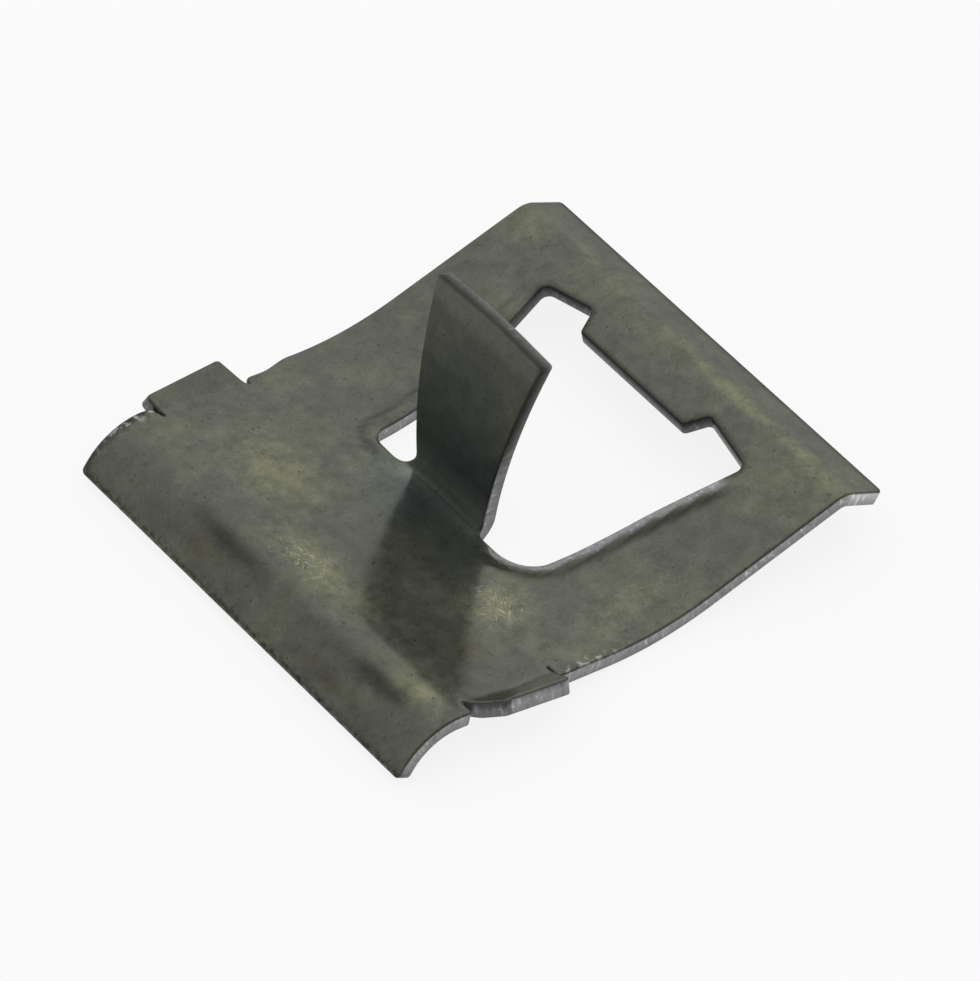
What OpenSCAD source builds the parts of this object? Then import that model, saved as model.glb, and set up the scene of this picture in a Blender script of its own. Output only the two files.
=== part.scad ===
// Molding clip: one stamped and bent piece of spring steel.
// The strip runs along X from the heel lip to the toe lip. It is bowed, and it lies on the heel lip's
// foot and its belly. A dovetail tongue is lanced out of a window and stands up, and a small ear is
// bent up on each side. Lengths and radii along the strip are those of its top face.

/* [Sheet] */
// Thickness of the spring steel sheet
sheet = 0.85; // [0.5:0.05:1.2]
// Width of the strip across the clip
clip_w = 25.4; // [22:0.1:32]
// Radius of the four outer corners
corner_r = 0.3; // [0.2:0.05:0.6]

/* [Heel] */
// Straight length of the down-turned heel lip
heel_lip = 0.65; // [0.6:0.05:2]
// Radius of the crest behind the heel lip
heel_r = 3.5; // [2.5:0.1:5]
// Angle that the crest turns through
heel_turn = 66.5; // [55:0.5:75]
// Flat from the crest down to the belly
wing_len = 9.6; // [8:0.1:11]

/* [Toe] */
// Radius of the belly between the two flats
belly_r = 16.5; // [12:0.5:30]
// Angle that the belly turns through
belly_turn = 23; // [18:0.5:30]
// Flat from the belly up to the toe bend
toe_flat = 8.2; // [7.5:0.1:12]
// Radius of the toe bend
toe_r = 1.5; // [1.3:0.1:2.5]
// Angle that the toe lip is turned down
toe_turn = 42.3; // [30:0.5:55]
// Straight length of the toe lip
toe_lip = 2.35; // [1.2:0.05:4]

/* [Window] */
// Width of the window beside the tongue's root
window_root_w = 11.7; // [10:0.1:13]
// Width of the window at the waist of its bowed sides, half way along
window_waist_w = 12.9; // [11:0.1:14]
// Radius of the bow in the window's sides
window_side_r = 40; // [10:1:60]
// Width of the window at its toe end
window_toe_w = 15.8; // [13:0.1:18]
// Length of the window from its root edge to the tip of the tab
window_len = 12.1; // [10:0.1:13]
// Depth of the notches beside the tab
notch_depth = 1.3; // [0.8:0.1:2]
// How much shorter the window is at its outer corners than beside the tab
notch_slant = 0.7; // [0.2:0.1:1.2]
// Radius of the window's corners at the root
root_corner_r = 0.9; // [0.4:0.1:1.5]
// Radius of the window's outer corners at the toe end
toe_corner_r = 0.5; // [0.2:0.1:1]
// Width of the tab at its tip
tab_tip_w = 8.1; // [6:0.1:9]
// Width of the tab at its base
tab_base_w = 9.3; // [7:0.1:10]
// Radius of the tab's own corners
tab_corner_r = 0.3; // [0.1:0.05:0.5]

/* [Tongue] */
// Width of the tongue at its root
tongue_root_w = 5.2; // [4:0.1:6]
// Width of the tongue at its tip
tongue_tip_w = 8.1; // [6:0.1:9]
// Fillet between the tongue's sides and the slots
tongue_fillet = 1.1; // [0.4:0.1:1.4]
// Radius on the inside of the tongue's bend
tongue_bend_r = 0.35; // [0.2:0.05:0.8]
// Angle that the tongue is bent up out of the flat
tongue_turn = 101; // [85:0.5:110]
// Length of the tongue above its bend
blade_len = 11.2; // [8:0.1:14]
// Radius of the blade, which leans over towards the toe
blade_r = 32; // [20:1:60]
// Distance that the tongue and its tab sit off the middle
tongue_shift = 0.3; // [0:0.05:0.6]
// Flat left between the tongue's bend and the start of the belly
root_land = 0.1; // [0:0.05:0.5]
// How far the slots run past the tongue's bend line
slot_relief = 0.05; // [0.05:0.05:0.5]

/* [Ears] */
// Distance along the flat from the crest to the ears
ear_start = 0.8; // [0.5:0.1:1.5]
// Length of each ear along the strip
ear_len = 5.4; // [3:0.1:6]
// Distance from the strip's side edge in to where the ears begin to bend
ear_inset = 0.8; // [0.5:0.05:1.2]
// Radius on the inside of the ears' bend
ear_bend_r = 1.2; // [0.6:0.1:2]
// Angle that the ears are bent up
ear_turn = 25; // [15:1:60]
// Straight length of an ear at its heel end
ear_heel_len = 0.8; // [0.4:0.05:1]
// Straight length of an ear at its toe end
ear_toe_len = 1.25; // [0.5:0.05:1.5]
// How far the near ear's heel end slants towards the toe, from its base to its tip
near_heel_slant = 1.5; // [-0.6:0.1:2]
// How far the near ear's toe end slants towards the toe
near_toe_slant = 0; // [-1:0.1:0.5]
// How far the far ear's heel end slants towards the toe
far_heel_slant = -0.4; // [-0.6:0.1:2]
// How far the far ear's toe end slants towards the toe
far_toe_slant = -0.8; // [-1:0.1:0.5]
// Radius of the ears' outer corners
ear_corner_r = 0.3; // [0.1:0.05:0.4]
// Width of the relief slit at each end of an ear
ear_slit = 0.3; // [0.2:0.05:0.5]

/* [Hidden] */
steel_colour = "#6b6d62";
// Facets on a rounded corner, and degrees to a facet on a bend
corner_steps = 6;
bend_step = 4;
// A bent-up piece starts this far back inside the flat that it grows from
stub = 0.5;
// Cutting bodies run this far past what they cut
over = 1;

// Each stretch of the strip is [length, turn, radius]: a flat has no turn, and a turn up is positive
heel_part = [[heel_lip, 0, 0], [0, -heel_turn, heel_r]];
wing_part = [[wing_len, 0, 0]];
toe_part = [[0, belly_turn, belly_r], [toe_flat, 0, 0], [0, -toe_turn, toe_r], [toe_lip, 0, 0]];
blade_turn = blade_len / blade_r * 180 / PI;
tongue_part = [[stub, 0, 0], [0, tongue_turn, tongue_bend_r], [0, -blade_turn, blade_r]];
ear_part = [[stub, 0, 0], [0, ear_turn, ear_bend_r], [max(ear_heel_len, ear_toe_len), 0, 0]];

// Place and heading [x, z, heading] of the top face part of the way along one stretch
function within(p, m, part) = m[1] == 0
    ? [p[0] + part * m[0] * cos(p[2]), p[1] + part * m[0] * sin(p[2]), p[2]]
    : [p[0] + sign(m[1]) * m[2] * (sin(p[2] + part * m[1]) - sin(p[2])),
       p[1] + sign(m[1]) * m[2] * (cos(p[2]) - cos(p[2] + part * m[1])),
       p[2] + part * m[1]];
// The same at the end of a list of stretches
function end_of(p, moves, i = 0) = i == len(moves) ? p : end_of(within(p, moves[i], 1), moves, i + 1);
// The top face's points after the first one, with every bend cut into short facets
function top_points(p, moves, i = 0) = i == len(moves) ? [] : concat(
    [for (n = max(1, ceil(abs(moves[i][1]) / bend_step)), k = [1 : n]) within(p, moves[i], k / n)],
    top_points(within(p, moves[i], 1), moves, i + 1));
// Closed section of a strip that starts at p: its top face, and its bottom face one sheet below
function section(p, moves) = let (top = concat([p], top_points(p, moves))) concat(
    [for (q = top) [q[0], q[1]]],
    [for (i = [len(top) - 1 : -1 : 0])
        let (q = top[i])
        [q[0] + sheet * sin(q[2]), q[1] - sheet * cos(q[2])]]);

// Everything is laid out from the flat that carries the tongue and the ears, with its top face level
heel_run = end_of([0, 0, heel_turn], heel_part);
heel_point = [-heel_run[0], -heel_run[1], heel_turn];
toe_point = end_of([wing_len, 0, 0], toe_part);

// At rest the lip's foot and the underside of the belly are on one level, which sets the lip's slope:
// rest_a * sin(slope) + rest_b * cos(slope) = belly_r + sheet
rest_a = heel_lip + (heel_r + belly_r) * sin(heel_turn) + wing_len * cos(heel_turn);
rest_b = (heel_r + belly_r) * cos(heel_turn) - (heel_r - sheet) - wing_len * sin(heel_turn);
heel_slope = atan2(rest_a, rest_b) - acos((belly_r + sheet) / norm([rest_a, rest_b]));
wing_slope = heel_slope - heel_turn;
function turned(p, a) = [p[0] * cos(a) - p[1] * sin(a), p[0] * sin(a) + p[1] * cos(a)];
heel_rest = turned(heel_point, wing_slope);
toe_rest = turned(toe_point, wing_slope);
middle_x = (heel_rest[0] + toe_rest[0]) / 2;
table_z = heel_rest[1] - sheet * cos(heel_slope);

// The tongue's bend line along the flat, and the window's places in plan at rest
root_along = wing_len - root_land;
root_x = (root_along - slot_relief) * cos(wing_slope);
tab_x = root_x + window_len;
notch_x = tab_x + notch_depth;
outer_x = notch_x - notch_slant;
waist_x = (root_x + outer_x) / 2;
blade_top = end_of([-stub, 0, 0], tongue_part)[1];

// Outline of corners [x, y, radius], with each corner that has a radius turned into an arc
function unit(v) = v / norm(v);
function corner(a, p, b) = let (
        tip = [p[0], p[1]],
        u = unit([a[0], a[1]] - tip),
        v = unit([b[0], b[1]] - tip),
        half = acos(u * v) / 2,
        centre = tip + unit(u + v) * p[2] / sin(half),
        from = tip + u * p[2] / tan(half) - centre,
        to = tip + v * p[2] / tan(half) - centre,
        sweep = 180 - 2 * half
    ) [for (k = [0 : corner_steps])
        let (f = k / corner_steps * sweep)
        centre + (from * sin(sweep - f) + to * sin(f)) / sin(sweep)];
function rounded(pts) = [for (i = [0 : len(pts) - 1])
    let (p = pts[i], n = len(pts))
    each p[2] == 0 ? [[p[0], p[1]]] : corner(pts[(i + n - 1) % n], p, pts[(i + 1) % n])];

// A strip of width w with its section along X
module strip(p, moves, w) {
    rotate([90, 0, 0]) linear_extrude(w, center = true) polygon(section(p, moves));
}

// What is left of a square corner outside its rounding; the corner is at the origin, facing +X and +Y
module corner_waste() {
    arc = corner([-1, 0], [0, 0, corner_r], [0, -1]);
    translate([0, 0, -sheet - over]) linear_extrude(sheet + 2 * over)
        polygon(concat(arc, [[over, -corner_r], [over, over], [-corner_r, over]]));
}

// The waste at both ends of a lip's edge
module lip_waste(p) {
    translate([p[0], 0, p[1]]) rotate([0, -p[2], 0]) for (side = [0, 1])
        mirror([0, side, 0]) translate([0, clip_w / 2, 0]) children();
}

// The bowed strip with its two lips
module bowed_strip() {
    difference() {
        strip(heel_point, concat(heel_part, wing_part, toe_part), clip_w);
        lip_waste(toe_point) corner_waste();
        lip_waste(heel_point) mirror([1, 0, 0]) corner_waste();
    }
}

// The window, cut square to the table: slots on both sides of the tongue, and a tab at the toe end
module window() {
    outline = [
        [root_x, -window_root_w / 2, root_corner_r],
        [waist_x, -window_waist_w / 2, window_side_r],
        [outer_x, -window_toe_w / 2, toe_corner_r],
        [notch_x, tongue_shift - tab_base_w / 2, tab_corner_r],
        [tab_x, tongue_shift - tab_tip_w / 2, tab_corner_r],
        [tab_x, tongue_shift + tab_tip_w / 2, tab_corner_r],
        [notch_x, tongue_shift + tab_base_w / 2, tab_corner_r],
        [outer_x, window_toe_w / 2, toe_corner_r],
        [waist_x, window_waist_w / 2, window_side_r],
        [root_x, window_root_w / 2, root_corner_r],
    ];
    reach = belly_r + sheet;
    rotate([0, wing_slope, 0]) linear_extrude(2 * reach, center = true) polygon(rounded(outline));
}

// The dovetail tongue: bent up at its root, leaning over, and trimmed to its flared outline
module tongue() {
    root_half = tongue_root_w / 2;
    tip_half = tongue_tip_w / 2;
    base_half = root_half + tongue_fillet;
    side = [
        [-sheet - over, base_half, 0],
        [0, base_half, 0],
        [0, root_half, tongue_fillet],
        [blade_top, tip_half, 0],
        [blade_top + over, tip_half, 0],
    ];
    other_side = [for (i = [len(side) - 1 : -1 : 0]) [side[i][0], -side[i][1], side[i][2]]];
    translate([root_along, tongue_shift, 0]) intersection() {
        strip([-stub, 0, 0], tongue_part, 2 * max(base_half, tip_half));
        translate([blade_len, 0, 0]) rotate([0, -90, 0])
            linear_extrude(blade_len + over) polygon(rounded(concat(side, other_side)));
    }
}

// Room for one ear on the far side: the ear's own length and a relief slit at each end
module ear_room() {
    translate([ear_start - ear_slit, clip_w / 2 - ear_inset, -sheet - over])
        cube([ear_len + 2 * ear_slit, ear_inset + over, sheet + 2 * over]);
}

// One ear on the far side: a bend up from the flat, and a straight end that widens towards the toe.
// Its outline is drawn flat in the straight end's plane, and its two ends slant from the bend line on
module ear(heel_slant, toe_slant) {
    bend_end = end_of([0, 0, 0], [ear_part[1]]);
    base = -ear_bend_r * sin(ear_turn);
    back = stub + ear_bend_r;
    outline = [
        [-back, 0, 0],
        [-back, ear_len, 0],
        [base, ear_len, 0],
        [ear_heel_len, ear_len - heel_slant, ear_corner_r],
        [ear_toe_len, -toe_slant, ear_corner_r],
        [base, 0, 0],
    ];
    spare = max(abs(heel_slant), abs(toe_slant));
    translate([ear_start + ear_len, clip_w / 2 - ear_inset, 0]) rotate([0, 0, 90]) intersection() {
        translate([0, ear_len / 2, 0]) strip([-stub, 0, 0], ear_part, ear_len + 2 * spare);
        translate([bend_end[0], 0, bend_end[1]]) rotate([0, -ear_turn, 0]) translate([0, 0, -sheet - over])
            linear_extrude(sheet + 2 * over + back) polygon(rounded(outline));
    }
}

module on_near_side() {
    mirror([0, 1, 0]) children();
}

module molding_clip() {
    color(steel_colour) translate([-middle_x, 0, -table_z]) rotate([0, -wing_slope, 0]) {
        difference() {
            bowed_strip();
            window();
            ear_room();
            on_near_side() ear_room();
        }
        tongue();
        ear(far_heel_slant, far_toe_slant);
        on_near_side() ear(near_heel_slant, near_toe_slant);
    }
}

molding_clip();
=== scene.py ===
"""Looks of a spring-steel molding clip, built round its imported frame.

The clip is worked out the way it is stamped: a flat blank with its window, tongue and ears lying in one
plane, whose points are then carried through the bends. A point of the blank is (s, y, h): along the top face
from the heel edge, across from the middle, and height above the top face. Sizes are in millimetres until the
mesh is made.
"""

import math
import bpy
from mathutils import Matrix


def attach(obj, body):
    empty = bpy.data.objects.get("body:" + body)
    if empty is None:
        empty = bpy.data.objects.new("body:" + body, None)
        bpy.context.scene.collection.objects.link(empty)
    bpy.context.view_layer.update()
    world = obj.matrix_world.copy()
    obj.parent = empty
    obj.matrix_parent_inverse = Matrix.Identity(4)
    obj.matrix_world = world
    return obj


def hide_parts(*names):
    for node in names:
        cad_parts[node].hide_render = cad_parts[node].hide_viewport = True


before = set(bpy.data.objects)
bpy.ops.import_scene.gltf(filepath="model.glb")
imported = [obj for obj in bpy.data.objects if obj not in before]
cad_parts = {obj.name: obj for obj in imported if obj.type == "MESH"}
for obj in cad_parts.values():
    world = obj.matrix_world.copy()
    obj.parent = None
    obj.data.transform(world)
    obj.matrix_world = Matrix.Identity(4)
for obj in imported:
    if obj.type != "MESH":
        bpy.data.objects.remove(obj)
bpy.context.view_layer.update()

from types import SimpleNamespace

import bpy
import numpy as np
from mathutils import Matrix, Vector
from mathutils.geometry import delaunay_2d_cdt

bl_info = {
    "name": "Molding Clip",
    "version": (1, 0, 0),
    "blender": (4, 5, 0),
    "location": "View3D > Sidebar > Clip",
    "description": "Builds a stamped spring-steel molding clip and its studio stage",
    "category": "Add Mesh",
}

CAD_NODE = "molding_clip"
MM = 0.001
# Width of the image in pixels, and of the camera's sensor in millimetres
IMAGE_W = 980
SENSOR_W = 36
# Half the floor's side in metres, and the share of plain white in what the camera and mirrors see of it
FLOOR_HALF = 2.0
FLOOR_WHITE = 0.85
# Direction of the bright side of the studio, and the cosines to it between which the surround brightens
BRIGHT_SIDE = (0.62, 0.78, 0)
BRIGHT_FROM, BRIGHT_TO = -0.5, 0.6
# Largest steps between points of the mesh: in millimetres on a flat and along an outline, and in radians
# across a bend and round an outline's corner
FLAT_STEP = 0.3
OUTLINE_STEP = 0.12
BEND_STEP = 0.09
CORNER_STEP = math.radians(12)
# Points of a sheared edge's quarter circle, and of the table from places in plan to places on the blank
ROLL_POINTS = 6
PLAN_POINTS = 4001
# Distance in millimetres from the window's sides within which no point belongs to the tongue
TONGUE_ROOM = 1
# Distances in millimetres under which points are joined in a face, and over which one counts as moved
JOINED, MOVED = 1e-6, 1e-4
# Parts that long arrays are worked through in
BLOCKS = 40
# Places of a mix node's colour sockets: both inputs and the output
MIX_A, MIX_B, MIX_OUT = 6, 7, 2

# Soft patches of the finish and of painted shade and light: middle along and across the blank, half lengths
# of both, and strength
PATCHES = {
    # Olive patches of the finish; those along the toe bend and on the toe flats also paint its highlight and
    # light
    "olive_patch": (
        (8.2, 6.2, 1.9, 2.9, 0.8), (4.0, -10.4, 1.0, 1.3, 0.8), (11.6, -7.2, 1.6, 1.3, 1.0),
        (5.4, -1.0, 1.1, 3.6, 0.6), (16.5, -10.6, 2.2, 1.0, 0.5), (29.7, -5.0, 0.4, 7.5, 0.7),
        (30.4, 7.4, 0.4, 2.0, 0.4), (13.0, 4.0, 1.2, 1.5, 0.4), (27.5, 9.8, 2.2, 2.6, 0.15),
        (29.5, -10.5, 1.6, 2.5, 0.5)),
    "brown_patch": ((1.6, 4.1, 0.6, 1.5, 0.5), (1.3, -6.0, 0.5, 2.2, 0.5), (8.2, -9.1, 0.7, 0.9, 0.4)),
    "scratched": ((11.6, -7.2, 1.3, 1.4, 1.0), (5.0, 0.0, 0.9, 1.7, 1.0), (19.0, -9.8, 2.5, 1.8, 0.15)),
    # Painted shade across the heel's crest
    "dark": ((2.8, 3.4, 0.6, 2.4, 0.75), (3.0, -8.7, 0.5, 2.1, 1.0), (2.7, -2.5, 0.7, 8.0, 0.4)),
    # Painted shade and reflection: cool blue-grey over the tongue and the wing below its root
    "blued": ((18.0, 0.3, 4.0, 5.0, 0.6), (12.6, 1.0, 1.6, 3.0, 0.6), (26.0, 10.0, 2.8, 2.4, 0.15)),
    # A lighter patch on the wing
    "pale": ((9.2, -5.2, 1.8, 1.8, 0.4),),
}
# Tone up the tongue, painted in: distance past its bend line in millimetres, and tone. Painted light evens
# out the shade in the crease of the bend, and painted shade darkens the tongue above it
TONGUE_TONES = (
    (-1.2, 1), (-0.1, 1.6), (0.05, 1.2), (0.15, 0.6), (0.3, 0.42), (0.42, 0.65), (0.6, 1.7), (0.72, 1.85),
    (1.2, 1.35), (2.6, 0.74), (6, 0.84), (10.3, 0.64), (11, 0.9))
# Bands of wear and of painted shade and light: the two distances in millimetres between which one comes in or
# fades out
BANDS = SimpleNamespace(
    # From the tongue's fillets outwards, and from the window's toe corners back
    beside_root=(0, 1), before_toe_end=(0.5, 3),
    # From the window: the rim's painted highlight, and the painted shade line at the toe end
    rim_highlight_band=(0.45, 0.6), window_toe=(0.1, 0.4),
    # From the far side and from the near side, less than zero inwards
    far_chips=(-0.6, -0.3), far_line=(-0.35, -0.15), near_chips=(-0.5, -0.2),
    # From the heel edge
    heel_chips=(0.2, 0.6), heel_walls=(0.2, 0.8), past_heel=(0, 4),
    # From the window's toe corners, and from the toe lip's start
    toe_end=(-1.5, -0.5), far_toe_walls=(-4, -2.5), lip_walls=(-0.5, 0),
    # From the top face down the tongue's walls
    coat=(0.3, 0.5))
# The same as shares: of the die roll's depth, of the rim's pull, and of the way up the tongue
SHARES = SimpleNamespace(
    bare_wall=(0.35, 1), roll_starts=(0, 0.25), roll_ends=(0.55, 1), pulled_rim=(0.1, 0.5),
    coat=(0.3, 0.6), oiled_walls=(0.35, 0.7))
# Soft lines: the painted shade at the rim's foot, the darker line along the heel edge, the painted shadow
# along the toe edge and the chips past the ears' ends, as distance of the middle from the window, the heel
# edge, the toe edge and the ears' ends, in millimetres, and half width
LINES = SimpleNamespace(rim_foot=(0.85, 0.2), heel=(0.25, 0.15), toe=(0.12, 0.18), past_ear=(2, 2.2))
# Shares of chipped finish along the edges, of dried oil at the heel, and of bare steel painted on the
# window's near rim as its highlight
WEAR = SimpleNamespace(far_heel=0.7, near_toe=0.35, heel=0.1, oily_heel=0.5, rim_highlight_share=0.9)
# Share of the tone that each mask takes away. Most paint shade: up the tongue, in creases, on rolled edges,
# on walls, along the toe edge and across the heel's crest; heel_line and far_line are darker lines along the
# edges.
# A place with a share below zero is lighter: painted light on the toe lip's end wall, and a lighter patch on
# the wing
SHADES = {
    "tongue": 1, "rim_foot": 0.5, "window_toe": 0.5, "rolled_edges": 0.45, "heel_line": 0.5, "toe_line": 0.75,
    "toe_walls": 0.85, "heel_walls": 0.5, "lip_walls": -0.8, "far_line": 0.5, "tongue_walls": 0.35,
    "coated_walls": 0.45, "ear_walls": 0.65, "dark": 0.65, "pale": -1}
# Distances in millimetres within which a wall's point is on the window, and on the toe edge
ON_WINDOW, ON_TOE = 0.02, 0.1
# Noises of the finish: size in millimetres, detail and roughness. The crystals of a phosphate coat are about
# 0.01 mm, so the grain is drawn coarser
NOISES = {
    "cloud": (3.5, 3, 0.6), "haze": (1.0, 6, 0.7), "mottle": (0.4, 3, 0.6), "grain": (0.14, 2, 0.6),
    "speck": (0.26, 3, 0.6)}
# Size of the net that pits lie on, width and length of a scratch, and depth of dents and grains, all in
# millimetres. Then the ways that scratches run, in degrees
PIT_NET = 0.9
SCRATCH = (0.1, 0.7)
DENT_DEPTH, GRAIN_DEPTH = 0.004, 0.0008
SCRATCH_WAYS = (15, -40, 70)
# Size across the sheet of a torn grain of the sheared edges, as a share of its size through the sheet
TORN_SHARE = 0.4
# Roughness that the tongue has above the rest
TONGUE_DULL = 0.25


def linear(hex_code):
    """An sRGB hex colour as a linear RGBA colour."""
    srgb = np.array([int(hex_code[i : i + 2], 16) for i in (1, 3, 5)]) / 255
    rgb = np.where(srgb <= 0.04045, srgb / 12.92, ((srgb + 0.055) / 1.055) ** 2.4)
    return (*rgb.tolist(), 1.0)


def length(name, description, mm):
    """A length property whose default is given in millimetres."""
    return bpy.props.FloatProperty(
        name=name, description=description, default=mm * MM, unit="LENGTH", precision=5)


def angle(name, description, degrees):
    """An angle property whose default is given in degrees."""
    return bpy.props.FloatProperty(
        name=name, description=description, default=math.radians(degrees), subtype="ANGLE")


def colour(name, description, hex_code):
    """A colour property whose default is an sRGB hex value."""
    return bpy.props.FloatVectorProperty(
        name=name, description=description, default=linear(hex_code), subtype="COLOR", size=4, min=0, max=1)


class ClipSizes(bpy.types.PropertyGroup):
    """Sizes of the blank and of its bends, as in the solid, with closer slits and worn edges"""

    sheet: length("Sheet", "Thickness of the spring steel", 0.85)
    clip_w: length("Width", "Width of the strip", 25.4)
    corner_r: length("Corner radius", "Radius of the four outer corners", 0.3)
    heel_lip: length("Heel lip", "Straight length of the heel lip", 0.65)
    heel_r: length("Heel radius", "Radius of the crest behind the heel lip", 3.5)
    heel_turn: angle("Heel turn", "Angle that the crest turns through", 66.5)
    wing_len: length("Wing", "Flat from the crest to the belly", 9.6)
    belly_r: length("Belly radius", "Radius of the belly", 16.5)
    belly_turn: angle("Belly turn", "Angle that the belly turns through", 23)
    toe_flat: length("Toe flat", "Flat from the belly to the toe bend", 8.2)
    toe_r: length("Toe radius", "Radius of the toe bend", 1.5)
    toe_turn: angle("Toe turn", "Angle that the toe lip is turned down", 42.3)
    toe_lip: length("Toe lip", "Straight length of the toe lip", 2.35)
    window_root_w: length("Window root", "Width of the window beside the tongue's root", 11.7)
    window_waist_w: length("Window waist", "Width of the window half way along", 12.9)
    window_side_r: length("Window side radius", "Radius of the bow in the window's sides", 40)
    window_toe_w: length("Window toe", "Width of the window at its toe end", 15.8)
    window_len: length("Window length", "Length of the window in plan, root to tab", 12.1)
    notch_depth: length("Notch depth", "Depth of the notches beside the tab", 1.3)
    notch_slant: length("Notch slant", "How much shorter the window is at its outer corners", 0.7)
    root_corner_r: length("Root corner radius", "Radius of the window's corners at the root", 0.9)
    toe_corner_r: length("Toe corner radius", "Radius of the window's corners at the toe end", 0.5)
    tab_tip_w: length("Tab tip", "Width of the tab at its tip", 8.1)
    tab_base_w: length("Tab base", "Width of the tab at its base", 9.3)
    tab_corner_r: length("Tab corner radius", "Radius of the tab's corners", 0.3)
    tongue_root_w: length("Tongue root", "Width of the tongue at its root", 5.2)
    tongue_tip_w: length("Tongue tip", "Width of the tongue at its tip", 8.1)
    tongue_fillet: length("Tongue fillet", "Fillet between the tongue's sides and the slots", 1.1)
    near_slot_r: length("Near slot radius", "Radius of the near slot's corner", 2.0)
    near_fillet: length("Near fillet", "Fillet between the tongue's near side and its slot", 0.6)
    tongue_bend_r: length("Tongue bend", "Radius on the inside of the tongue's bend", 0.35)
    tongue_turn: angle("Tongue turn", "Angle that the tongue is bent up", 101)
    blade_len: length("Blade", "Length of the tongue above its bend", 11.2)
    blade_r: length("Blade radius", "Radius of the leaning blade", 32)
    tongue_shift: length("Tongue shift", "Distance of the tongue and tab off the middle", 0.3)
    root_land: length("Root land", "Flat between the tongue's bend and the belly", 0.1)
    slot_relief: length("Slot relief", "How far the slots run past the bend line", 0.05)
    ear_start: length("Ear start", "Distance along the flat from the crest to the ears", 0.8)
    ear_len: length("Ear length", "Length of each ear along the strip", 5.4)
    ear_inset: length("Ear inset", "Distance from the side edge to where the ears bend", 0.8)
    ear_bend_r: length("Ear bend", "Radius on the inside of the ears' bend", 1.2)
    ear_turn: angle("Ear turn", "Angle that the ears are bent up", 25)
    ear_heel_len: length("Ear heel end", "Straight length of an ear at its heel end", 0.8)
    ear_toe_len: length("Ear toe end", "Straight length of an ear at its toe end", 1.25)
    near_heel_slant: length("Near heel slant", "Slant of the near ear's heel end towards the toe", 1.5)
    near_toe_slant: length("Near toe slant", "Slant of the near ear's toe end towards the toe", 0)
    far_heel_slant: length("Far heel slant", "Slant of the far ear's heel end towards the toe", -0.4)
    far_toe_slant: length("Far toe slant", "Slant of the far ear's toe end towards the toe", -0.8)
    ear_corner_r: length("Ear corner radius", "Radius of the ears' outer corners", 0.3)
    ear_slit: length("Ear slit", "Width of the relief slit at an ear's ends", 0.08)
    slit_mouth_r: length("Slit mouth radius", "Worn radius at the mouth of a slit", 0.15)
    slit_end_r: length("Slit end radius", "Radius in the corner of a slit", 0.03)
    scallop: length("Scallop", "Depth that the far side is worn back past its ear", 0.35)
    scallop_r: length("Scallop radius", "Radius of the far side's worn corner beside its ear", 0.35)
    scallop_len: length("Scallop length", "Length of that worn stretch", 2.8)
    die_roll: length("Die roll", "Rounding of the sheared edges on the top face", 0.14)
    burr_r: length("Lower edge", "Rounding of the sheared edges on the lower face", 0.06)
    rim_lift: length("Rim lift", "Height that the window's rim is pulled up", 0.2)
    rim_crest: length("Rim crest", "Distance from the window to the rim's highest line", 0.55)
    rim_reach: length("Rim reach", "Distance from its crest over which the rim falls", 0.3)
    tip_crown: length("Tip crown", "Height of the arched edge at the tongue's tip", 0.1)


class ClipFinish(bpy.types.PropertyGroup):
    """Colours of the phosphate and oil finish, with a blue-grey of painted shade and near-white painted
    glints
    """

    steel: colour("Steel", "Grey body of the finish", "#62645c")
    olive: colour("Olive", "Thin yellow-green patches of the finish", "#7c7d66")
    brown: colour("Brown", "Old oil", "#524b3c")
    # Blue-grey painted as the shade and reflection about the tongue's bend
    blued: colour("Blued", "Cool dark steel about the tongue's bend", "#555f61")
    pit: colour("Pit", "Small dark pits", "#23251f")
    scratch: colour("Scratch", "Fine scratches into the steel", "#b4b69d")
    bare: colour("Bare edge", "Steel of the sheared edges", "#98989b")
    # Near-white painted as glints on the sheared edges' grains and on chipped flakes
    glint: colour("Glint", "Bright grains of the sheared edges", "#ececec")
    grazing: colour("Grazing", "How much the finish mirrors at a low angle", "#b4b4b4")


class ClipStage(bpy.types.PropertyGroup):
    """Camera, floor and light"""

    azimuth: angle("Azimuth", "Direction that the camera looks from", -43.075)
    elevation: angle("Elevation", "Height of the camera above the horizon", 45.802)
    roll: angle("Roll", "Turn of the camera about its own axis", 5.661)
    focal_px: bpy.props.FloatProperty(
        name="Focal length", description="Focal length in image pixels", default=8301)
    px_per_mm: bpy.props.FloatProperty(
        name="Scale", description="Image pixels to a millimetre", default=20.067)
    aim_z: length("Aim height", "Height of the point that the camera aims at", 2)
    off_right: length("Offset right", "Distance of that point right of the image's middle", -0.352)
    off_up: length("Offset up", "Distance of that point above the image's middle", 0.969)
    backdrop: colour("Backdrop", "Colour of floor and surround", "#ffffff")
    dim: bpy.props.FloatProperty(name="Dim side", description="Surround on the camera's left", default=0.45)
    bright: bpy.props.FloatProperty(name="Bright side", description="Surround on the far right", default=1.05)


def in_mm(group):
    """The group's lengths in millimetres and its angles in radians."""
    return SimpleNamespace(**{
        p.identifier: getattr(group, p.identifier) / (MM if p.unit == "LENGTH" else 1)
        for p in group.bl_rna.properties if p.type == "FLOAT"})


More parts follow.
